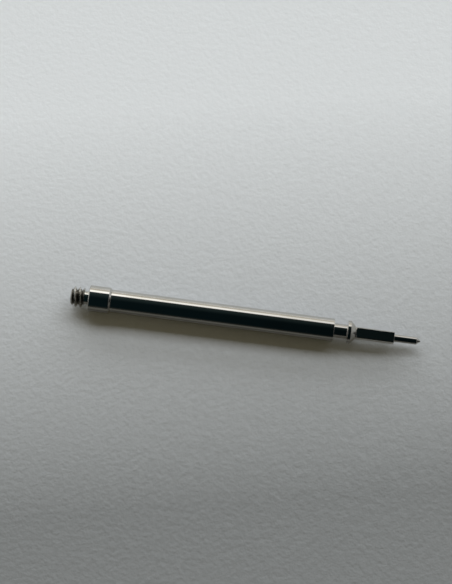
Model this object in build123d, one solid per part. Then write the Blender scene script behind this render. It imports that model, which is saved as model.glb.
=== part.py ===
"""Telescopic winding stem: a sprung inner stem slides in a barrel that turns with the crown.

The stem lies along X, with +X from the crown's thread to the pilot tip, and +Z up. The origin is
on the axis, at the collar's shoulder that the crown is screwed down against. Sizes are in
millimetres.
"""
import os
from math import cos, pi, radians, tan

from build123d import *

# Fits and walls
running_clearance = 0.015
head_clearance = 0.03
sleeve_corner_wall = 0.065
barrel_wall = 0.155
cut_overrun = 0.2

# Crown plug
thread_diameter = 1.47
thread_pitch = 0.34
thread_depth = 0.25
thread_crest_width = 0.035
thread_flank_angle = 30
thread_length = 0.93
thread_lead_bevel = 0.24
thread_runout_bevel = 0.10
thread_crest_offset = 0.30
thread_root_embed = 0.01
undercut_diameter = 0.96
undercut_length = 0.33
undercut_fillet = 0.05
seat_clearance = 0.03
seat_relief_depth = 0.06
collar_step = 0.115
collar_length = 1.55
collar_edge_bevel = 0.05
spigot_length = 1.40
spigot_edge_bevel = 0.08

# Barrel
barrel_length = 15.70
barrel_edge_bevel = 0.03

# Mouth bush and drive sleeve
bush_length = 1.20
bush_recess = 0.02
bush_mouth_bevel = 0.08
sleeve_length = 3.60

# Inner stem
neck_diameter = 1.00
neck_free_length = 0.97
flange_fillet = 0.06
flange_rim_length = 0.22
relief_diameter = 0.86
square_across_flats = 0.77
square_corner_diameter = 1.00
square_length = 2.69
pilot_diameter = 0.53
pilot_length = 1.88
pilot_point_length = 0.30
pilot_tip_diameter = 0.06
tail_diameter = 0.60

# Hexagonal driver and its pin
driver_hex_length = 2.60
driver_head_length = 0.50
driver_head_bevel = 0.06
pin_diameter = 0.25
pin_end_gap = 0.02

# Return spring
spring_wire_diameter = 0.16
spring_bore_clearance = 0.09
spring_turns = 22
wire_arcs = 4

# Radii that fit together
neck_radius = neck_diameter / 2
bush_bore_radius = neck_radius + running_clearance
sleeve_across_flats = neck_diameter + 2 * running_clearance
sleeve_corner_radius = sleeve_across_flats / 2 / cos(pi / 6)
bore_radius = sleeve_corner_radius + sleeve_corner_wall
barrel_radius = bore_radius + barrel_wall
collar_radius = barrel_radius + collar_step
flange_radius = barrel_radius
thread_radius = thread_diameter / 2
thread_root_radius = thread_radius - thread_depth
tail_radius = tail_diameter / 2
driver_head_radius = bore_radius - head_clearance
spring_radius = bore_radius - spring_bore_clearance - spring_wire_diameter / 2

# Places along the axis
thread_end_x = -undercut_length
thread_start_x = thread_end_x - thread_length
barrel_start_x = collar_length
mouth_x = barrel_start_x + barrel_length
spigot_end_x = barrel_start_x + spigot_length
bush_end_x = mouth_x - bush_recess
bush_start_x = bush_end_x - bush_length
sleeve_start_x = bush_start_x - sleeve_length
driver_front_x = sleeve_start_x + driver_hex_length
driver_back_x = sleeve_start_x - driver_head_length
pin_x = sleeve_start_x + driver_hex_length / 2
flange_x = mouth_x + neck_free_length
cone_x = flange_x + flange_rim_length
square_x = cone_x + flange_radius - relief_diameter / 2
pilot_x = square_x + square_length
tip_x = pilot_x + pilot_length


def turned(*corners):
    """A solid of revolution about X, from corners given as (x, radius)."""
    return turned_outline(Polyline(*corners, close=True))


def turned_outline(outline):
    """A solid of revolution about X, from a closed outline of lines and arcs."""
    return revolve(make_face(outline), axis=Axis.X)


def bar(sketch, start_x, end_x):
    """A straight bar with the sketch as its section, along X."""
    return extrude(Plane.YZ.offset(start_x) * sketch, amount=end_x - start_x)


def hexagon(across_flats):
    """A hexagon with two flats square to Z."""
    return RegularPolygon(across_flats / 2, 6, major_radius=False)


def pin_hole():
    """The hole across the driver and the stem's tail, along Z."""
    reach = bore_radius + cut_overrun
    return Pos(pin_x, 0, 0) * Cylinder(pin_diameter / 2, 2 * reach)


def thread_ridge():
    """The right-hand helical ridge, trimmed to the thread's length, lead bevel and run-out."""
    half_crest = thread_crest_width / 2
    foot_radius = thread_root_radius - thread_root_embed
    half_foot = half_crest + (thread_radius - foot_radius) * tan(radians(thread_flank_angle))
    start_x = thread_start_x - 2 * thread_pitch + thread_crest_offset
    turned_length = thread_length + 3 * thread_pitch
    path = Helix(
        pitch=thread_pitch,
        height=turned_length,
        radius=foot_radius,
        center=(start_x, 0, 0),
        direction=(1, 0, 0),
    )
    at_start = path @ 0
    outward = Vector(0, at_start.Y, at_start.Z).normalized()
    section_plane = Plane(origin=(start_x, 0, 0), x_dir=(1, 0, 0), z_dir=Vector(1, 0, 0).cross(outward))
    section = section_plane * make_face(
        Polyline(
            (-half_foot, foot_radius),
            (-half_crest, thread_radius),
            (half_crest, thread_radius),
            (half_foot, foot_radius),
            close=True,
        )
    )
    ridge = sweep(section, path=path, is_frenet=True)
    envelope = turned(
        (thread_start_x, 0),
        (thread_start_x, thread_radius - thread_lead_bevel),
        (thread_start_x + thread_lead_bevel + cut_overrun, thread_radius + cut_overrun),
        (thread_end_x - thread_runout_bevel - cut_overrun, thread_radius + cut_overrun),
        (thread_end_x, thread_radius - thread_runout_bevel),
        (thread_end_x, 0),
    )
    return ridge & envelope


def crown_plug():
    """Thread, undercut and collar, with the spigot that is pressed in the barrel.

    The collar's crown-side face is relieved inside the seat ring, so that the crown's tapped
    post comes down on the ring and clears the undercut's fillet.
    """
    undercut_radius = undercut_diameter / 2
    seat_inner_radius = thread_radius + seat_clearance
    fillet_start_x = seat_relief_depth - undercut_fillet
    fillet_top_radius = undercut_radius + undercut_fillet
    side = Polyline(
        (seat_relief_depth, fillet_top_radius),
        (seat_relief_depth, seat_inner_radius),
        (0, seat_inner_radius),
        (0, collar_radius - collar_edge_bevel),
        (collar_edge_bevel, collar_radius),
        (barrel_start_x - collar_step, collar_radius),
        (barrel_start_x, barrel_radius),
        (barrel_start_x, bore_radius),
        (spigot_end_x - spigot_edge_bevel, bore_radius),
        (spigot_end_x, bore_radius - spigot_edge_bevel),
        (spigot_end_x, 0),
        (thread_start_x, 0),
        (thread_start_x, thread_root_radius),
        (thread_end_x, thread_root_radius),
        (thread_end_x, undercut_radius),
        (fillet_start_x, undercut_radius),
    )
    fillet_arc = RadiusArc(
        (fillet_start_x, undercut_radius), (seat_relief_depth, fillet_top_radius), undercut_fillet
    )
    return turned_outline(side + fillet_arc) + thread_ridge()


def barrel():
    """Plain tube between the collar and the mouth."""
    return turned(
        (barrel_start_x, bore_radius),
        (barrel_start_x, barrel_radius),
        (mouth_x - barrel_edge_bevel, barrel_radius),
        (mouth_x, barrel_radius - barrel_edge_bevel),
        (mouth_x, bore_radius),
    )


def mouth_bush():
    """Ring that guides the neck, bevelled where the flange's fillet comes home."""
    return turned(
        (bush_start_x, bush_bore_radius),
        (bush_start_x, bore_radius),
        (bush_end_x, bore_radius),
        (bush_end_x, bush_bore_radius + bush_mouth_bevel),
        (bush_end_x - bush_mouth_bevel, bush_bore_radius),
    )


def drive_sleeve():
    """Liner with the hexagonal hole that turns the driver."""
    tube = bar(Circle(bore_radius), sleeve_start_x, bush_start_x)
    hole = bar(hexagon(sleeve_across_flats), sleeve_start_x - cut_overrun, bush_start_x + cut_overrun)
    return tube - hole


def inner_stem():
    """Tail, neck, flange, cone, square and pilot, in one piece."""
    fillet_start_x = flange_x - flange_fillet
    fillet_top_radius = neck_radius + flange_fillet
    side = Polyline(
        (fillet_start_x, neck_radius),
        (driver_front_x, neck_radius),
        (driver_front_x, tail_radius),
        (driver_back_x, tail_radius),
        (driver_back_x, 0),
        (square_x, 0),
        (square_x, relief_diameter / 2),
        (cone_x, flange_radius),
        (flange_x, flange_radius),
        (flange_x, fillet_top_radius),
    )
    fillet_arc = RadiusArc((flange_x, fillet_top_radius), (fillet_start_x, neck_radius), flange_fillet)
    round_part = turned_outline(side + fillet_arc)

    corner_radius = square_corner_diameter / 2
    corner_bevel = corner_radius - relief_diameter / 2
    blank = turned(
        (square_x, 0),
        (square_x, relief_diameter / 2),
        (square_x + corner_bevel, corner_radius),
        (pilot_x, corner_radius),
        (pilot_x, 0),
    )
    flats = bar(Rectangle(square_across_flats, square_across_flats), square_x, pilot_x)
    point_x = tip_x - pilot_point_length
    pilot = turned(
        (pilot_x, 0),
        (pilot_x, pilot_diameter / 2),
        (point_x, pilot_diameter / 2),
        (tip_x, pilot_tip_diameter / 2),
        (tip_x, 0),
    )
    return round_part + (blank & flats) + pilot - pin_hole()


def hex_driver():
    """Hexagonal block on the tail, with the round head that the spring presses."""
    block = bar(hexagon(neck_diameter), sleeve_start_x, driver_front_x)
    head = turned(
        (driver_back_x, 0),
        (driver_back_x, driver_head_radius - driver_head_bevel),
        (driver_back_x + driver_head_bevel, driver_head_radius),
        (sleeve_start_x, driver_head_radius),
        (sleeve_start_x, 0),
    )
    tail_hole = bar(Circle(tail_radius), driver_back_x - cut_overrun, driver_front_x + cut_overrun)
    return block + head - tail_hole - pin_hole()


def driver_pin():
    """Cross pin that locks the driver to the tail."""
    return Pos(pin_x, 0, 0) * Cylinder(pin_diameter / 2, neck_diameter - 2 * pin_end_gap)


def return_spring():
    """Coil between the plug's spigot and the driver's head."""
    wire_radius = spring_wire_diameter / 2
    start_x = spigot_end_x + wire_radius
    coil_length = driver_back_x - wire_radius - start_x
    path = Helix(
        pitch=coil_length / spring_turns,
        height=coil_length,
        radius=spring_radius,
        center=(start_x, 0, 0),
        direction=(1, 0, 0),
    )
    arc_angle = 360 / wire_arcs
    rim = [CenterArc((0, 0), wire_radius, arc_angle * i, arc_angle) for i in range(wire_arcs)]
    section = Plane(origin=path @ 0, z_dir=path % 0) * make_face(rim)
    return sweep(section, path=path, is_frenet=True)


pieces = {
    "crown_plug": crown_plug,
    "barrel": barrel,
    "mouth_bush": mouth_bush,
    "drive_sleeve": drive_sleeve,
    "inner_stem": inner_stem,
    "hex_driver": hex_driver,
    "driver_pin": driver_pin,
    "return_spring": return_spring,
}

os.makedirs("parts", exist_ok=True)
for name, make_piece in pieces.items():
    piece = make_piece()
    piece.label = name
    export_step(piece, "parts/" + name + ".step")

print("length over all", round(tip_x - thread_start_x, 3))
print("slide of the inner stem", round(neck_free_length, 3))
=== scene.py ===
from math import acos, ceil, cos, pi, radians, sin, tan

import bmesh
import bpy
from mathutils import Matrix, Vector


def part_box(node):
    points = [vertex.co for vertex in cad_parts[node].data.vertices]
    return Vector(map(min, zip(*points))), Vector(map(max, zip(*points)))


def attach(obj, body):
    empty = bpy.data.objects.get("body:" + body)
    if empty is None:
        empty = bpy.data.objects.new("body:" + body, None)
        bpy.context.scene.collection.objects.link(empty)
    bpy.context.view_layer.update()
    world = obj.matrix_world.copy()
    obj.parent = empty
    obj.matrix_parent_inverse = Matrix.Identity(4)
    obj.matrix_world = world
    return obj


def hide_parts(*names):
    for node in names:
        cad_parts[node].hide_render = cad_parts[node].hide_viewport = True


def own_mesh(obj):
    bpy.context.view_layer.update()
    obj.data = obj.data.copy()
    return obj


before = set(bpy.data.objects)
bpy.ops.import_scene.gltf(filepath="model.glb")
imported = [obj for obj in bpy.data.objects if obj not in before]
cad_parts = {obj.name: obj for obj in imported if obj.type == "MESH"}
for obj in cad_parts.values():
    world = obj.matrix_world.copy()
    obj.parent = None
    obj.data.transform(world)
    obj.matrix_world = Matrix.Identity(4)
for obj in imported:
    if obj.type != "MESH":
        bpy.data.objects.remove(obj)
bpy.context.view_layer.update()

# Barrel
# The plain tube that turns with the crown: bright steel, turned to length, bored through and
# buffed until it mirrors the room, with the lathe's finest rings still faintly there.

# Sizes are in millimetres, and times mm they are in metres. The table's reach, the lamps' sizes and
# the camera's nearest and farthest distances are in metres as they stand.
mm = 0.001


def corners_of(node):
    """The lowest and highest corners of a piece of the frame, in millimetres."""
    lowest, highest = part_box(node)
    return Vector(lowest) / mm, Vector(highest) / mm


barrel_low, barrel_high = corners_of("barrel")
bush_low, bush_high = corners_of("mouth_bush")
barrel_start_x = barrel_low.x
mouth_x = barrel_high.x
barrel_middle_x = (barrel_start_x + mouth_x) / 2
barrel_radius = barrel_high.y
bore_radius = bush_high.y
turned_edge = 0.022
edge_steps = 4
crisp_angle = radians(35)
turning_steps = 192
even_angles = [2 * pi * step / turning_steps for step in range(turning_steps)]

# The values that most of a grain's noise lies between, and shares that rise or fall over a band
grain_band = (0.3, 0.7)
rising = (0.0, 1.0)
falling = (1.0, 0.0)


def eased(corners, easing):
    """The outline with its corners rounded, and a point beyond each rounding to keep the flats flat."""
    largest_share = 0.2
    reaches_to_flat = 2
    points = [Vector(corners[0])]
    for before, corner, after in zip(corners, corners[1:], corners[2:]):
        corner = Vector(corner)
        back = Vector(before) - corner
        onward = Vector(after) - corner
        reach = min(easing, largest_share * back.length, largest_share * onward.length)
        back = back.normalized() * reach
        onward = onward.normalized() * reach
        points.append(corner + reaches_to_flat * back)
        for step in range(edge_steps + 1):
            share = step / edge_steps
            points.append(corner + back * (1 - share) ** 2 + onward * share ** 2)
        points.append(corner + reaches_to_flat * onward)
    points.append(Vector(corners[-1]))
    return points


def round_ring(x, radius, angles=even_angles):
    """Points round the axis, or the one point on it."""
    if radius == 0:
        return [(x, 0, 0)]
    return [(x, radius * cos(angle), radius * sin(angle)) for angle in angles]


def joined_rings(rings):
    """The faces between each ring and the next, in a new mesh. Sizes are in millimetres."""
    build = bmesh.new()
    made = [[build.verts.new(Vector(point) * mm) for point in ring] for ring in rings]
    for first, second in zip(made, made[1:]):
        for step in range(max(len(first), len(second))):
            corners = [
                first[step % len(first)],
                first[(step + 1) % len(first)],
                second[(step + 1) % len(second)],
                second[step % len(second)],
            ]
            corners = list(dict.fromkeys(corners))
            if len(corners) > 2:
                build.faces.new(corners)
    return build


def smooth_piece(name, build):
    """The finished mesh as a piece, its double points joined and its faces turned outward."""
    point_gap = 1e-8
    bmesh.ops.remove_doubles(build, verts=build.verts, dist=point_gap)
    bmesh.ops.recalc_face_normals(build, faces=build.faces)
    mesh = bpy.data.meshes.new(name)
    build.to_mesh(mesh)
    build.free()
    mesh.polygons.foreach_set("use_smooth", [True] * len(mesh.polygons))
    mesh.set_sharp_from_angle(angle=crisp_angle)
    piece = bpy.data.objects.new(name, mesh)
    bpy.context.scene.collection.objects.link(piece)
    return piece


def turned(name, corners, easing):
    """A lathe-turned piece, from its outline's corners given as (x, radius)."""
    rings = [round_ring(x, radius) for x, radius in eased(corners, easing)]
    return smooth_piece(name, joined_rings(rings))


def own_place(tree):
    """The place on the piece."""
    place = tree.nodes.new("ShaderNodeTexCoord")
    return place.outputs["Object"]


def axes_of(tree, place):
    """The place's X, Y and Z, each by its letter."""
    parting = tree.nodes.new("ShaderNodeSeparateXYZ")
    tree.links.new(place, parting.inputs["Vector"])
    return parting.outputs


def lathe_place(tree):
    """The place along the axis, out from it and up, for marks that run round as a lathe leaves them."""
    across_the_axis = (0, 1, 1)
    place = own_place(tree)
    axes = axes_of(tree, place)
    flattened = tree.nodes.new("ShaderNodeVectorMath")
    flattened.operation = "MULTIPLY"
    tree.links.new(place, flattened.inputs[0])
    flattened.inputs[1].default_value = across_the_axis
    outward = tree.nodes.new("ShaderNodeVectorMath")
    outward.operation = "LENGTH"
    tree.links.new(flattened.outputs["Vector"], outward.inputs[0])
    turned_place = tree.nodes.new("ShaderNodeCombineXYZ")
    tree.links.new(axes["X"], turned_place.inputs["X"])
    tree.links.new(outward.outputs["Value"], turned_place.inputs["Y"])
    tree.links.new(axes["Z"], turned_place.inputs["Z"])
    return turned_place.outputs["Vector"]


def grain(tree, lengths, detail=3, place_of=own_place):
    """Noise whose grains have these lengths along the place's three values, in millimetres."""
    scaled = tree.nodes.new("ShaderNodeMapping")
    scaled.inputs["Scale"].default_value = [1 / (length * mm) for length in lengths]
    noise = tree.nodes.new("ShaderNodeTexNoise")
    noise.inputs["Scale"].default_value = 1
    noise.inputs["Detail"].default_value = detail
    tree.links.new(place_of(tree), scaled.inputs["Vector"])
    tree.links.new(scaled.outputs["Vector"], noise.inputs["Vector"])
    return noise.outputs["Fac"]


def spread(tree, value, band, result=rising):
    """The value brought from one band to another, and held inside it."""
    spreading = tree.nodes.new("ShaderNodeMapRange")
    tree.links.new(value, spreading.inputs["Value"])
    spreading.inputs["From Min"].default_value = band[0]
    spreading.inputs["From Max"].default_value = band[1]
    spreading.inputs["To Min"].default_value = result[0]
    spreading.inputs["To Max"].default_value = result[1]
    return spreading.outputs["Result"]


def result_of(tree, operation, *values):
    """What an operation makes of one or two values."""
    working = tree.nodes.new("ShaderNodeMath")
    working.operation = operation
    for value, socket in zip(values, working.inputs):
        tree.links.new(value, socket)
    return working.outputs["Value"]


def mixed(tree, share, first, second):
    """A colour that goes from the first to the second with the share. Each is a tone or a socket."""
    colour_sockets = (6, 7)
    mixed_colour_socket = 2
    mixing = tree.nodes.new("ShaderNodeMix")
    mixing.data_type = "RGBA"
    tree.links.new(share, mixing.inputs["Factor"])
    for colour, number in zip((first, second), colour_sockets):
        socket = mixing.inputs[number]
        if isinstance(colour, tuple):
            socket.default_value = (*colour, 1)
        else:
            tree.links.new(colour, socket)
    return mixing.outputs[mixed_colour_socket]


def new_finish(name, metallic):
    """A new material, its nodes and its shader."""
    material = bpy.data.materials.new(name)
    material.use_nodes = True
    shader = material.node_tree.nodes["Principled BSDF"]
    shader.inputs["Metallic"].default_value = metallic
    return material, material.node_tree, shader


def relief(tree, shader, height, depth):
    """Surface relief from a height, with its full depth in millimetres."""
    bump = tree.nodes.new("ShaderNodeBump")
    bump.inputs["Strength"].default_value = 1
    bump.inputs["Distance"].default_value = depth * mm
    tree.links.new(height, bump.inputs["Height"])
    tree.links.new(bump.outputs["Normal"], shader.inputs["Normal"])


def polished_steel(name, clean, smoked):
    """Buffed steel: fine rings from the lathe, a breath of haze, and a few handling marks."""
    ring_size = (0.022, 0.022, 3.0)
    broad_ring_size = (0.16, 0.16, 4.0)
    ring_depth = 0.0004
    ring_dullness = (0.05, 0.08)
    haze_size = (1.6, 0.9, 0.9)
    haze_detail = 5
    haze_band = (0.40, 0.75)
    haze_dullness = (0.0, 0.05)
    smoke_band = (0.42, 0.72)
    rub_size = (2.4, 0.03, 0.03)
    rub_detail = 2
    rub_band = (0.66, 0.74)
    rub_dullness = (0.0, 0.05)
    material, tree, shader = new_finish(name, metallic=1)
    rings = grain(tree, ring_size, place_of=lathe_place)
    broad_rings = grain(tree, broad_ring_size, place_of=lathe_place)
    haze = grain(tree, haze_size, haze_detail)
    rubs = grain(tree, rub_size, rub_detail)
    smoke = spread(tree, haze, smoke_band)
    ringed = spread(tree, broad_rings, grain_band, ring_dullness)
    hazed = spread(tree, haze, haze_band, haze_dullness)
    rubbed = spread(tree, rubs, rub_band, rub_dullness)
    dullness = result_of(tree, "ADD", result_of(tree, "ADD", ringed, hazed), rubbed)
    tree.links.new(mixed(tree, smoke, clean, smoked), shader.inputs["Base Color"])
    tree.links.new(dullness, shader.inputs["Roughness"])
    relief(tree, shader, result_of(tree, "ADD", rings, broad_rings), ring_depth)
    return material


def fitted(piece, material, body, node):
    """Finishes the piece in its material and sets it on its body, in place of its CAD node."""
    piece.data.materials.append(material)
    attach(piece, body)
    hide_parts(node)


bright_tone = (0.64, 0.62, 0.58)
smoked_tone = (0.57, 0.55, 0.50)
barrel_corners = [
    (barrel_middle_x, bore_radius),
    (barrel_start_x, bore_radius),
    (barrel_start_x, barrel_radius),
    (mouth_x, barrel_radius),
    (mouth_x, bore_radius),
    (barrel_middle_x, bore_radius),
]
barrel_steel = polished_steel("barrel_steel", bright_tone, smoked_tone)
barrel_tube = turned("barrel_tube", barrel_corners, turned_edge)
fitted(barrel_tube, barrel_steel, "barrel_group", "barrel")

# Drive sleeve
# A hardened steel liner pressed in the barrel behind the mouth, with a broached hexagonal hole
# that turns the inner stem's driver. Its outside is turned and its hole keeps the broach's lines.
sleeve_low, sleeve_high = corners_of("drive_sleeve")
sleeve_start_x = sleeve_low.x
sleeve_end_x = sleeve_high.x
sleeve_middle_x = (sleeve_start_x + sleeve_end_x) / 2
neck_radius = 0.50
running_clearance = 0.015
sleeve_half_flats = neck_radius + running_clearance
sleeve_mouth_bevel = 0.02
hexagon_flats = 6
first_hexagon_flat = radians(30)
angle_digits = 9


def off_flat(angle, flats, first_flat):
    """How far the angle is from the middle of the flat that it falls on."""
    width = 2 * pi / flats
    return (angle - first_flat + width / 2) % width - width / 2


def flatted_angles(flats, first_flat, flat_end):
    """Angles round a bar with flats, close together at each flat's ends."""
    width = 2 * pi / flats
    flat_steps = 14
    edge_gap = radians(0.8)
    offsets = [-flat_end + 2 * flat_end * step / flat_steps for step in range(flat_steps + 1)]
    offsets += [-flat_end + edge_gap, flat_end - edge_gap, width / 2]
    if width / 2 - flat_end > edge_gap:
        offsets += [-flat_end - edge_gap, flat_end + edge_gap]
    angles = set()
    for flat in range(flats):
        middle = first_flat + width * flat
        angles.update(round((middle + offset) % (2 * pi), angle_digits) for offset in offsets)
    return sorted(angles)


def flatted_ring(x, radius, half_flats, flats, first_flat, angles):
    """Points round a bar of that radius with flats milled on it."""
    ring = []
    for angle in angles:
        reach = min(radius, half_flats / cos(off_flat(angle, flats, first_flat)))
        ring.append((x, reach * cos(angle), reach * sin(angle)))
    return ring


def ground_steel(name, clean, smoked, line_size):
    """Ground or drawn steel, its lines as long and as wide as the line size says."""
    line_detail = 4
    line_dullness = (0.22, 0.36)
    line_depth = 0.0012
    smoke_size = (0.7, 0.7, 0.7)
    smoke_detail = 4
    smoke_band = (0.35, 0.7)
    material, tree, shader = new_finish(name, metallic=1)
    lines = grain(tree, line_size, line_detail)
    smoke = spread(tree, grain(tree, smoke_size, smoke_detail), smoke_band)
    tree.links.new(mixed(tree, smoke, clean, smoked), shader.inputs["Base Color"])
    tree.links.new(spread(tree, lines, grain_band, line_dullness), shader.inputs["Roughness"])
    relief(tree, shader, lines, line_depth)
    return material


sleeve_angles = flatted_angles(hexagon_flats, first_hexagon_flat, pi / hexagon_flats)


def hexagon_hole_ring(x, half_flats):
    """The hole's hexagon at one place along it."""
    corner_radius = half_flats / cos(pi / hexagon_flats)
    return flatted_ring(x, corner_radius, half_flats, hexagon_flats, first_hexagon_flat, sleeve_angles)


sleeve_tone = (0.50, 0.50, 0.50)
sleeve_smoke = (0.40, 0.39, 0.37)
broach_lines = (3.0, 0.02, 0.02)
sleeve_rings = [
    round_ring(sleeve_middle_x, bore_radius, sleeve_angles),
    round_ring(sleeve_start_x + turned_edge, bore_radius, sleeve_angles),
    round_ring(sleeve_start_x, bore_radius - turned_edge, sleeve_angles),
    hexagon_hole_ring(sleeve_start_x, sleeve_half_flats + sleeve_mouth_bevel),
    hexagon_hole_ring(sleeve_start_x + sleeve_mouth_bevel, sleeve_half_flats),
    hexagon_hole_ring(sleeve_middle_x, sleeve_half_flats),
    hexagon_hole_ring(sleeve_end_x - sleeve_mouth_bevel, sleeve_half_flats),
    hexagon_hole_ring(sleeve_end_x, sleeve_half_flats + sleeve_mouth_bevel),
    round_ring(sleeve_end_x, bore_radius - turned_edge, sleeve_angles),
    round_ring(sleeve_end_x - turned_edge, bore_radius, sleeve_angles),
    round_ring(sleeve_middle_x, bore_radius, sleeve_angles),
]
sleeve_steel = ground_steel("sleeve_steel", sleeve_tone, sleeve_smoke, broach_lines)
sleeve_liner = smooth_piece("sleeve_liner", joined_rings(sleeve_rings))
fitted(sleeve_liner, sleeve_steel, "barrel_group", "drive_sleeve")

# Mouth bush
# A bronze ring pressed in the barrel's mouth, which the round neck slides in. It is turned and
# bored, with a bevel at the mouth that lets the flange's fillet come home.
bush_start_x = bush_low.x
bush_end_x = bush_high.x
bush_middle_x = (bush_start_x + bush_end_x) / 2
bush_bore_radius = neck_radius + running_clearance
bush_mouth_bevel = 0.08
bush_edge = 0.011
bronze_tone = (0.66, 0.48, 0.27)
oiled_tone = (0.42, 0.29, 0.16)


def turned_bronze(name, clean, stained):
    """Fine-turned bronze, browned a little where oil has stood."""
    ring_size = (0.018, 0.018, 2.5)
    ring_dullness = (0.20, 0.32)
    ring_depth = 0.001
    oil_size = (0.5, 0.4, 0.4)
    oil_detail = 5
    oil_band = (0.35, 0.7)
    material, tree, shader = new_finish(name, metallic=1)
    rings = grain(tree, ring_size, place_of=lathe_place)
    oil = spread(tree, grain(tree, oil_size, oil_detail), oil_band)
    tree.links.new(mixed(tree, oil, clean, stained), shader.inputs["Base Color"])
    tree.links.new(spread(tree, rings, grain_band, ring_dullness), shader.inputs["Roughness"])
    relief(tree, shader, rings, ring_depth)
    return material


bush_corners = [
    (bush_middle_x, bush_bore_radius),
    (bush_start_x, bush_bore_radius),
    (bush_start_x, bore_radius),
    (bush_end_x, bore_radius),
    (bush_end_x, bush_bore_radius + bush_mouth_bevel),
    (bush_end_x - bush_mouth_bevel, bush_bore_radius),
    (bush_middle_x, bush_bore_radius),
]
bush_bronze = turned_bronze("bush_bronze", bronze_tone, oiled_tone)
bush_ring = turned("bush_ring", bush_corners, bush_edge)
fitted(bush_ring, bush_bronze, "barrel_group", "mouth_bush")

# Inner stem
# Turned from one steel bar: tail, neck, flange with its filleted back and 45 degree front, and
# pilot. The square is milled on last, for the clutch to slide on, and all but it is buffed.
_, stem_high = corners_of("inner_stem")
driver_low, driver_high = corners_of("hex_driver")
driver_back_x = driver_low.x
driver_front_x = driver_high.x
tail_radius = 0.30
relief_radius = 0.43
square_half_flats = 0.385
square_corner_radius = 0.50
square_corner_bevel = square_corner_radius - relief_radius
square_length = 2.69
pilot_radius = 0.265
pilot_length = 1.88
point_length = 0.30
tip_radius = 0.03
flange_radius = stem_high.y
flange_rim_length = 0.22
flange_fillet = 0.06
tip_x = stem_high.x
pilot_x = tip_x - pilot_length
square_x = pilot_x - square_length
square_middle_x = (square_x + pilot_x) / 2
cone_x = square_x - (flange_radius - relief_radius)
flange_x = cone_x - flange_rim_length
square_flats = 4
first_square_flat = 0
stem_edge = 0.018
fillet_steps = 6
place_rounding = 0.0001


def fillet(shoulder_x, shaft_radius, size):
    """The outline's points up a rounded foot, from the shaft to the shoulder."""
    points = []
    for step in range(fillet_steps + 1):
        turn = pi / 2 * step / fillet_steps
        points.append((shoulder_x - size + size * sin(turn), shaft_radius + size * (1 - cos(turn))))
    return points


stem_corners = [
    (driver_back_x, 0),
    (driver_back_x, tail_radius),
    (driver_front_x, tail_radius),
    (driver_front_x, neck_radius),
    *fillet(flange_x, neck_radius, flange_fillet),
    (flange_x, flange_radius),
    (cone_x, flange_radius),
    (square_x, relief_radius),
    (square_x + square_corner_bevel, square_corner_radius),
    (pilot_x, square_corner_radius),
    (pilot_x, pilot_radius),
    (tip_x - point_length, pilot_radius),
    (tip_x, tip_radius),
    (tip_x, 0),
]
square_flat_end = acos(square_half_flats / square_corner_radius)
turning_angles = {round(angle, angle_digits) for angle in even_angles[::2]}
square_angles = flatted_angles(square_flats, first_square_flat, square_flat_end)
stem_angles = sorted(turning_angles.union(square_angles))
stem_rings = []
for x, radius in eased(stem_corners, stem_edge):
    ring = round_ring(x, radius, stem_angles)
    if square_x + place_rounding < x < pilot_x + place_rounding and radius > square_half_flats:
        worn = square_corner_radius - radius if x > square_middle_x else 0
        half_flats = square_half_flats - worn
        ring = flatted_ring(x, radius, half_flats, square_flats, first_square_flat, stem_angles)
    stem_rings.append(ring)
stem_tone = (0.63, 0.61, 0.57)
stem_smoke = (0.55, 0.53, 0.48)
stem_steel = polished_steel("stem_steel", stem_tone, stem_smoke)
sliding_stem = smooth_piece("sliding_stem", joined_rings(stem_rings))
fitted(sliding_stem, stem_steel, "stem_group", "inner_stem")

# Hexagonal driver
# A hardened block pinned on the stem's tail. It slides in the drive sleeve and turns with it, and
# its round head takes the spring's push and stops on the sleeve's end.
driver_half_flats = neck_radius
driver_corner_radius = 0.565
driver_head_radius = driver_high.y
driver_head_bevel = 0.06
driver_flat_end = acos(driver_half_flats / driver_corner_radius)
driver_angles = flatted_angles(hexagon_flats, first_hexagon_flat, driver_flat_end)
driver_edge = 0.02
driver_tone = (0.45, 0.45, 0.46)
driver_smoke = (0.34, 0.33, 0.31)
driver_lines = (2.0, 0.025, 0.025)


def driver_ring(x, drawn_in=0.0):
    """The block's hexagon at one place along it, drawn in a little at the front edge."""
    return flatted_ring(
        x,
        driver_corner_radius - drawn_in,
        driver_half_flats - drawn_in,
        hexagon_flats,
        first_hexagon_flat,
        driver_angles,
    )


driver_rings = [
    round_ring(driver_back_x + driver_edge, tail_radius, driver_angles),
    round_ring(driver_back_x, tail_radius + driver_edge, driver_angles),
    round_ring(driver_back_x, driver_head_radius - driver_head_bevel, driver_angles),
    round_ring(driver_back_x + driver_head_bevel, driver_head_radius, driver_angles),
    round_ring(sleeve_start_x - driver_edge, driver_head_radius, driver_angles),
    round_ring(sleeve_start_x, driver_head_radius - driver_edge, driver_angles),
    driver_ring(sleeve_start_x),
    driver_ring(sleeve_start_x + driver_edge),
    driver_ring(driver_front_x - driver_edge),
    driver_ring(driver_front_x, driver_edge),
    round_ring(driver_front_x, tail_radius + driver_edge, driver_angles),
    round_ring(driver_front_x - driver_edge, tail_radius, driver_angles),
    round_ring(driver_back_x + driver_edge, tail_radius, driver_angles),
]
driver_steel = ground_steel("driver_steel", driver_tone, driver_smoke, driver_lines)
driver_block = smooth_piece("driver_block", joined_rings(driver_rings))
fitted(driver_block, driver_steel, "stem_group", "hex_driver")

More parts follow.
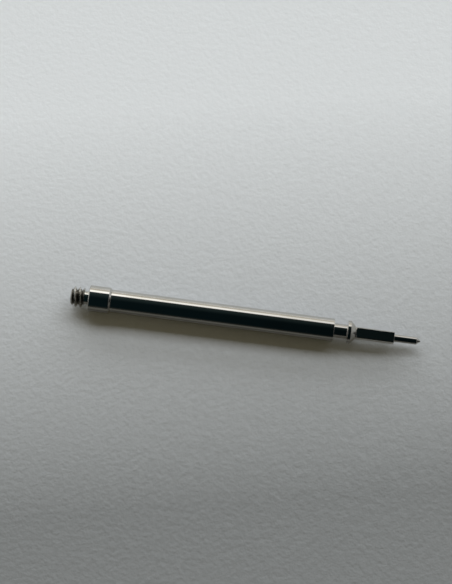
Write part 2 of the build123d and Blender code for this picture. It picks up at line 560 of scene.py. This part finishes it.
# Driver pin
# A cut length of hard wire driven across the block and the tail, its ends eased so that they
# stay under the block's flats.
pin_low, pin_high = corners_of("driver_pin")
pin_x = (pin_low.x + pin_high.x) / 2
pin_radius = (pin_high.x - pin_low.x) / 2
pin_half_length = pin_high.z
pin_edge = 0.02
pin_tone = (0.50, 0.50, 0.52)
pin_smoke = (0.42, 0.41, 0.40)
pin_lines = (0.02, 0.02, 1.5)
pin_corners = [
    (-pin_half_length, 0),
    (-pin_half_length, pin_radius),
    (pin_half_length, pin_radius),
    (pin_half_length, 0),
]
pin_steel = ground_steel("pin_steel", pin_tone, pin_smoke, pin_lines)
cross_pin = turned("cross_pin", pin_corners, pin_edge)
upright = Matrix.Translation((pin_x * mm, 0, 0)) @ Matrix.Rotation(-pi / 2, 4, "Y")
cross_pin.data.transform(upright)
fitted(cross_pin, pin_steel, "stem_group", "driver_pin")

# Return spring
# A coil of hard drawn wire between the plug's spigot and the driver's head, its last turns wound
# close and ground flat. It is squeezed as the stem slides in.
plug_low, plug_high = corners_of("crown_plug")
_, spring_high = corners_of("return_spring")
spigot_end_x = plug_high.x
wire_radius = 0.08
ground_share = 0.5
ground_inset = ground_share * wire_radius
coil_radius = spring_high.z - wire_radius
spring_turns = 22
closed_turns = 1.2
steps_per_turn = 28
wire_steps = 12
spring_length = driver_back_x - spigot_end_x
closed_pitch = 2 * wire_radius
open_turns = spring_turns - 2 * closed_turns
open_pitch = (spring_length - 2 * ground_inset - 2 * closed_turns * closed_pitch) / open_turns
spring_tone = (0.42, 0.42, 0.44)
spring_smoke = (0.30, 0.29, 0.28)
wire_lines = (0.05, 0.5, 0.5)


def coil_x(turns):
    """The wire's middle along X, after that many turns."""
    closed_first = min(turns, closed_turns)
    closed_last = max(turns - closed_turns - open_turns, 0)
    open_part = turns - closed_first - closed_last
    wound = closed_pitch * (closed_first + closed_last) + open_pitch * open_part
    return spigot_end_x + ground_inset + wound


wire_rings = []
for step in range(spring_turns * steps_per_turn + 1):
    turns = step / steps_per_turn
    angle = 2 * pi * turns
    outward = Vector((0, cos(angle), sin(angle)))
    middle = Vector((coil_x(turns), 0, 0)) + outward * coil_radius
    ring = []
    for part in range(wire_steps):
        around = 2 * pi * part / wire_steps
        point = middle + outward * wire_radius * cos(around)
        point.x += wire_radius * sin(around)
        point.x = min(max(point.x, spigot_end_x), driver_back_x)
        ring.append(point)
    wire_rings.append(ring)
first_cut = [sum(wire_rings[0], Vector()) / wire_steps]
last_cut = [sum(wire_rings[-1], Vector()) / wire_steps]
spring_steel = ground_steel("spring_steel", spring_tone, spring_smoke, wire_lines)
coil_spring = smooth_piece("coil_spring", joined_rings([first_cut, *wire_rings, last_cut]))
fitted(coil_spring, spring_steel, "barrel_group", "return_spring")
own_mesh(coil_spring)

# Crown plug
# Turned from bar in one piece: the thread that the crown screws on, an undercut, the wide collar and a
# spigot pressed in the barrel. The thread's roots are coloured darker and duller, in patches.
thread_radius = 0.735
thread_depth = 0.25
thread_root_radius = thread_radius - thread_depth
thread_pitch = 0.34
thread_length = 0.93
thread_start_x = plug_low.x
thread_end_x = thread_start_x + thread_length
thread_lead_bevel = 0.24
thread_runout_bevel = 0.10
thread_flank_angle = radians(30)
half_crest = 0.0175
half_root = half_crest + thread_depth * tan(thread_flank_angle)
crest_offset = 0.215
crest_x = thread_start_x + crest_offset
rows_per_pitch = 24
undercut_radius = 0.48
undercut_fillet = 0.05
seat_clearance = 0.03
seat_relief_depth = 0.06
seat_inner_radius = thread_radius + seat_clearance
collar_radius = plug_high.y
collar_step = collar_radius - barrel_radius
collar_bevel = 0.05
spigot_bevel = 0.08


def thread_surface(x, angle):
    """The thread's radius at a place along the axis and round it."""
    along = (x - crest_x - thread_pitch * angle / (2 * pi)) % thread_pitch
    from_crest = min(along, thread_pitch - along)
    rise = (half_root - from_crest) / (half_root - half_crest)
    ridge = thread_root_radius + thread_depth * min(max(rise, 0), 1)
    lead_in = thread_radius - thread_lead_bevel + x - thread_start_x
    run_out = thread_radius - thread_runout_bevel + thread_end_x - x
    return min(ridge, lead_in, run_out)


def thread_point(x, angle):
    """The point on the thread at a place along the axis and round it."""
    reach = thread_surface(x, angle)
    return Vector((x, reach * cos(angle), reach * sin(angle)))


plug_corners = [
    (thread_end_x, undercut_radius),
    *fillet(seat_relief_depth, undercut_radius, undercut_fillet),
    (seat_relief_depth, seat_inner_radius),
    (0, seat_inner_radius),
    (0, collar_radius - collar_bevel),
    (collar_bevel, collar_radius),
    (barrel_start_x - collar_step, collar_radius),
    (barrel_start_x, barrel_radius),
    (barrel_start_x, bore_radius),
    (spigot_end_x - spigot_bevel, bore_radius),
    (spigot_end_x, bore_radius - spigot_bevel),
    (spigot_end_x, 0),
]
plug_rings = [[thread_point(thread_end_x, angle) for angle in even_angles]]
plug_rings += [round_ring(x, radius) for x, radius in eased(plug_corners, stem_edge)]
plug_build = joined_rings(plug_rings)

row_step = thread_pitch / rows_per_pitch
thread_rows = ceil(thread_length / row_step) + rows_per_pitch + 1
thread_grid = []
for row in range(thread_rows):
    points = []
    for angle in even_angles:
        x = thread_start_x - thread_pitch + row_step * row + thread_pitch * angle / (2 * pi)
        x = min(max(x, thread_start_x), thread_end_x)
        points.append(plug_build.verts.new(thread_point(x, angle) * mm))
    thread_grid.append(points)
for row in range(thread_rows - 1):
    for step in range(turning_steps):
        next_step = (step + 1) % turning_steps
        next_row = row if next_step else row + rows_per_pitch
        if next_row + 1 < thread_rows:
            plug_build.faces.new(
                [
                    thread_grid[row][step],
                    thread_grid[row + 1][step],
                    thread_grid[next_row + 1][next_step],
                    thread_grid[next_row][next_step],
                ]
            )
end_middle = plug_build.verts.new(Vector((thread_start_x, 0, 0)) * mm)
end_ring = thread_grid[0]
for point, next_point in zip(end_ring, end_ring[1:] + end_ring[:1]):
    plug_build.faces.new([end_middle, point, next_point])


def darkened_thread_roots(steel):
    """Makes the steel darker and duller in patches, in the thread's roots and short of its ends."""
    dark_root_tone = (0.10, 0.09, 0.075)
    dark_root_dullness = (0.0, 0.35)
    dark_root_top_radius = 0.70
    dark_root_fade = 0.03
    patch_size = (0.15, 0.15, 0.15)
    patch_band = (0.3, 0.6)
    patch_shares = (0.40, 0.85)
    tree = steel.node_tree
    shader = tree.nodes["Principled BSDF"]
    place = axes_of(tree, lathe_place(tree))
    start_band = (thread_start_x * mm, (thread_start_x + dark_root_fade) * mm)
    end_band = (thread_end_x * mm, (thread_end_x + dark_root_fade) * mm)
    root_band = (thread_root_radius * mm, dark_root_top_radius * mm)
    # The thread's roots are coloured darker and duller, in patches, and not at its ends.
    past_end_face = spread(tree, place["X"], start_band)
    before_undercut = spread(tree, place["X"], end_band, falling)
    in_roots = spread(tree, place["Y"], root_band, falling)
    patches = spread(tree, grain(tree, patch_size), patch_band, patch_shares)
    dark_root_share = result_of(tree, "MULTIPLY", past_end_face, before_undercut)
    dark_root_share = result_of(tree, "MULTIPLY", dark_root_share, in_roots)
    dark_root_share = result_of(tree, "MULTIPLY", dark_root_share, patches)
    buffed_tone = shader.inputs["Base Color"].links[0].from_socket
    buffed_dullness = shader.inputs["Roughness"].links[0].from_socket
    dulled = spread(tree, dark_root_share, rising, dark_root_dullness)
    tree.links.new(mixed(tree, dark_root_share, buffed_tone, dark_root_tone), shader.inputs["Base Color"])
    tree.links.new(result_of(tree, "ADD", buffed_dullness, dulled), shader.inputs["Roughness"])


plug_steel = polished_steel("plug_steel", bright_tone, smoked_tone)
darkened_thread_roots(plug_steel)
crown_end = smooth_piece("crown_end", plug_build)
fitted(crown_end, plug_steel, "barrel_group", "crown_plug")

# Table
# A pale satin table top with a fine orange-peel skin, leaning a hair so that the collar and the flange
# both rest on it. Towards the camera its colour is painted darker, a painted falloff of light, and its
# skin shows more, and in mirrors it has painted shade on that side.
table_reach = 4.0
collar_rest = Vector((barrel_start_x - collar_step, 0, -collar_radius))
flange_rest = Vector((flange_x, 0, -flange_radius))
lean = (flange_rest.z - collar_rest.z) / (flange_rest.x - collar_rest.x)
window_turn = radians(11.5)
# Painted light falloff: the band it spans and the table's colour at its near, darker end and its far,
# paler end.
painted_falloff_band = (-15 * mm, 14 * mm)
painted_near_dark_tone = (0.262, 0.272, 0.271)
painted_far_light_tone = (0.88, 0.91, 0.92)
mottle_size = (0.5, 0.5, 0.5)
mottle_detail = 4
mottle_shares = (-0.02, 0.02)
# Painted shade that mirrors see on the table's near side: where it lies and its darker and lighter
# tones.
shade_band = (-2.6 * mm, -0.6 * mm)
far_shade_band = (-4.2 * mm, -2.6 * mm)
painted_near_shade = (0.085, 0.085, 0.077)
painted_far_shade = (0.165, 0.165, 0.150)
skin_size = (0.32, 0.32, 0.32)
skin_depth = 0.056
skin_depth_shares = (1.0, 0.40)
table_dullness = 0.5


def table_height(x):
    """The table's height under the stem, in metres."""
    return (collar_rest.z + lean * (x / mm - collar_rest.x)) * mm


def satin_skin(name):
    """Satin with a painted falloff of light from the window, and painted shade on its near side in
    mirrors.
    """
    material, tree, shader = new_finish(name, metallic=0)
    # Painted falloff of light: the table's colour goes from a dark tone near the camera to a pale one
    # towards the window.
    towards_window = tree.nodes.new("ShaderNodeVectorMath")
    towards_window.operation = "DOT_PRODUCT"
    towards_window.inputs[1].default_value = (-sin(window_turn), cos(window_turn), 0)
    tree.links.new(own_place(tree), towards_window.inputs[0])
    painted_light_falloff = spread(tree, towards_window.outputs["Value"], painted_falloff_band)
    mottle = spread(tree, grain(tree, mottle_size, mottle_detail), grain_band, mottle_shares)
    painted_falloff_tone = mixed(tree, result_of(tree, "ADD", painted_light_falloff, mottle), painted_near_dark_tone, painted_far_light_tone)
    place = axes_of(tree, own_place(tree))
    # Painted shade: in mirror rays only, the table's near side takes a dark colour, darkest close to
    # the stem and a little lighter farther off.
    seen_in = tree.nodes.new("ShaderNodeLightPath")
    painted_shade_near_side = spread(tree, place["Y"], shade_band, falling)
    painted_shade_fade = spread(tree, place["Y"], far_shade_band, falling)
    painted_shade_share = result_of(tree, "MULTIPLY", painted_shade_near_side, seen_in.outputs["Is Glossy Ray"])
    painted_shade_tone = mixed(tree, painted_shade_fade, painted_near_shade, painted_far_shade)
    tree.links.new(mixed(tree, painted_shade_share, painted_falloff_tone, painted_shade_tone), shader.inputs["Base Color"])
    shader.inputs["Roughness"].default_value = table_dullness
    depth_share = spread(tree, painted_light_falloff, rising, skin_depth_shares)
    skin = result_of(tree, "MULTIPLY", grain(tree, skin_size), depth_share)
    relief(tree, shader, skin, skin_depth)
    return material


table_corners = [
    (-table_reach, -table_reach),
    (table_reach, -table_reach),
    (table_reach, table_reach),
    (-table_reach, table_reach),
]
table_mesh = bpy.data.meshes.new("table_top")
table_mesh.from_pydata([(x, y, table_height(x)) for x, y in table_corners], [], [(0, 1, 2, 3)])
table_mesh.materials.append(satin_skin("table_skin"))
table_top = bpy.data.objects.new("table_top", table_mesh)
bpy.context.scene.collection.objects.link(table_top)

# Room
# The steel mirrors, up from the far side, a beige wall, a wide window, a soffit, a dark ceiling and
# a dim near wall, and at both ends walls that are lighter over their sills. The camera itself sees
# a plain pale backdrop. The table has two soft lamps' light, and a dim warm light from all round.
wall_tone = (0.46, 0.445, 0.405)
window_tone = (1.0, 1.0, 0.985)
soffit_tone = (0.014, 0.022, 0.023)
ceiling_tone = (0.002, 0.005, 0.006)
near_wall_tone = (0.020, 0.021, 0.018)
backdrop_tone = (0.62, 0.63, 0.64)
dim_tone = (0.155, 0.135, 0.085)
wall_top = radians(16)
window_foot = radians(25)
window_top = radians(37)
soffit_edge = radians(43)
overhead = radians(96)
near_wall_top = radians(160)
near_wall_foot = radians(179)
room_stops = [
    (0, wall_tone),
    (wall_top, wall_tone),
    (window_foot, window_tone),
    (window_top, window_tone),
    (soffit_edge, soffit_tone),
    (overhead, ceiling_tone),
    (near_wall_top, ceiling_tone),
    (near_wall_foot, near_wall_tone),
]
world = bpy.data.worlds.new("room")
bpy.context.scene.world = world
world.use_nodes = True
room = world.node_tree
room_light = room.nodes["Background"]
room_out = room.nodes["World Output"]
facing = room.nodes.new("ShaderNodeTexCoord")
facing_axes = axes_of(room, facing.outputs["Generated"])
over_stem = result_of(room, "ARCTAN2", facing_axes["Z"], facing_axes["Y"])
room_ramp = room.nodes.new("ShaderNodeValToRGB")
room_ramp.color_ramp.interpolation = "EASE"
while len(room_ramp.color_ramp.elements) < len(room_stops):
    room_ramp.color_ramp.elements.new(1.0)
for element, (height, stop_tone) in zip(room_ramp.color_ramp.elements, room_stops):
    element.position = height / pi
    element.color = (*stop_tone, 1)
room.links.new(spread(room, over_stem, (0.0, pi)), room_ramp.inputs["Fac"])

end_wall_band = (0.3, 0.7)
far_corner_band = (0.1, 0.5)
end_wall_light = (0.03, 0.32)
crown_wall_band = (-0.75, -0.45)
crown_sill_band = (0.06, 0.22)
crown_wall_light = (0.20, 0.0)
pilot_wall_band = (0.45, 0.75)
pilot_sill_band = (0.30, 0.46)
pilot_wall_light = (0.0, 0.36)


def light_over_sill(wall_band, sill_band, light):
    """The light that one end wall adds above its sill."""
    towards_wall = spread(room, facing_axes["X"], wall_band, light)
    above_sill = spread(room, facing_axes["Z"], sill_band)
    return result_of(room, "MULTIPLY", towards_wall, above_sill)


plain_light = spread(room, facing_axes["Y"], far_corner_band, end_wall_light)
crown_light = light_over_sill(crown_wall_band, crown_sill_band, crown_wall_light)
pilot_light = light_over_sill(pilot_wall_band, pilot_sill_band, pilot_wall_light)
end_wall_tone = result_of(room, "ADD", plain_light, result_of(room, "ADD", crown_light, pilot_light))
end_wall_share = spread(room, result_of(room, "ABSOLUTE", facing_axes["X"]), end_wall_band)
room_tone = mixed(room, end_wall_share, room_ramp.outputs["Color"], end_wall_tone)
room.links.new(room_tone, room_light.inputs["Color"])

room_strength = 1.4
crown_end_share = 1.26
pilot_end_share = 0.64
window_band = (-0.1, 0.1)
window_strengths = (crown_end_share * room_strength, pilot_end_share * room_strength)
strength = room.nodes.new("ShaderNodeMix")
room.links.new(spread(room, over_stem, (wall_top, window_foot)), strength.inputs["Factor"])
strength.inputs["A"].default_value = room_strength
room.links.new(spread(room, facing_axes["X"], window_band, window_strengths), strength.inputs["B"])
room.links.new(strength.outputs["Result"], room_light.inputs["Strength"])
seen_by = room.nodes.new("ShaderNodeLightPath")


def plain_for(kind_of_ray, other_rays, tone):
    """The room with one plain tone for one kind of ray."""
    plain = room.nodes.new("ShaderNodeBackground")
    plain.inputs["Color"].default_value = (*tone, 1)
    choice = room.nodes.new("ShaderNodeMixShader")
    share, for_others, for_this_kind = choice.inputs
    room.links.new(seen_by.outputs[kind_of_ray], share)
    room.links.new(other_rays, for_others)
    room.links.new(plain.outputs["Background"], for_this_kind)
    return choice.outputs["Shader"]


softly_lit = plain_for("Is Diffuse Ray", room_light.outputs["Background"], dim_tone)
room.links.new(plain_for("Is Camera Ray", softly_lit, backdrop_tone), room_out.inputs["Surface"])

daylight_tone = (0.90, 0.935, 1.0)
lamp_distance = 8.0
lamp_width = 16.0
window_lamp_height = radians(49)
window_lamp_depth = 2.8
window_lamp_power = 588
low_lamp_height = radians(20)
low_lamp_depth = 3.0
low_lamp_power = 520


def far_lamp(name, height, depth, power):
    """A wide soft lamp on the far side, seen only by what it lights."""
    lamp = bpy.data.lights.new(name, "AREA")
    lamp.shape = "RECTANGLE"
    lamp.size = lamp_width
    lamp.size_y = depth
    lamp.energy = power
    lamp.color = daylight_tone
    holder = bpy.data.objects.new(name, lamp)
    bpy.context.scene.collection.objects.link(holder)
    holder.location = Vector((0, cos(height), sin(height))) * lamp_distance
    holder.rotation_euler = (height - pi / 2, 0, 0)
    holder.visible_glossy = False
    holder.visible_camera = False


far_lamp("window_lamp", window_lamp_height, window_lamp_depth, window_lamp_power)
far_lamp("low_lamp", low_lamp_height, low_lamp_depth, low_lamp_power)

# Camera
# It looks down on the stem from the front, steeply, with a long lens, and is turned a little so
# that the pilot's end lies lower in the picture.
picture_width = 452
picture_height = 584
pixel_size = 0.07
view_elevation = radians(78)
view_roll = radians(7.45)
view_distance = 120
sensor_width = 36
nearest_seen = 0.005
farthest_seen = 50
stem_middle = Vector(((thread_start_x + tip_x) / 2, 0, 0))
middle_pixel = Vector((245.8, 318.7))

across = Vector((1, 0, 0))
backward = Vector((0, -cos(view_elevation), sin(view_elevation)))
upward = backward.cross(across)
picture_right = across * cos(view_roll) + upward * sin(view_roll)
picture_up = upward * cos(view_roll) - across * sin(view_roll)
right_of_middle = (middle_pixel.x - picture_width / 2) * pixel_size
below_middle = (middle_pixel.y - picture_height / 2) * pixel_size
aim = stem_middle - picture_right * right_of_middle + picture_up * below_middle
lens = bpy.data.cameras.new("lens")
lens.sensor_width = sensor_width
lens.lens = sensor_width * view_distance / (picture_height * pixel_size)
lens.clip_start = nearest_seen
lens.clip_end = farthest_seen
camera = bpy.data.objects.new("camera", lens)
bpy.context.scene.collection.objects.link(camera)
turn = Matrix((picture_right, picture_up, backward)).transposed()
camera.matrix_world = Matrix.Translation((aim + backward * view_distance) * mm) @ turn.to_4x4()
bpy.context.scene.camera = camera
bpy.context.scene.view_settings.view_transform = "Standard"
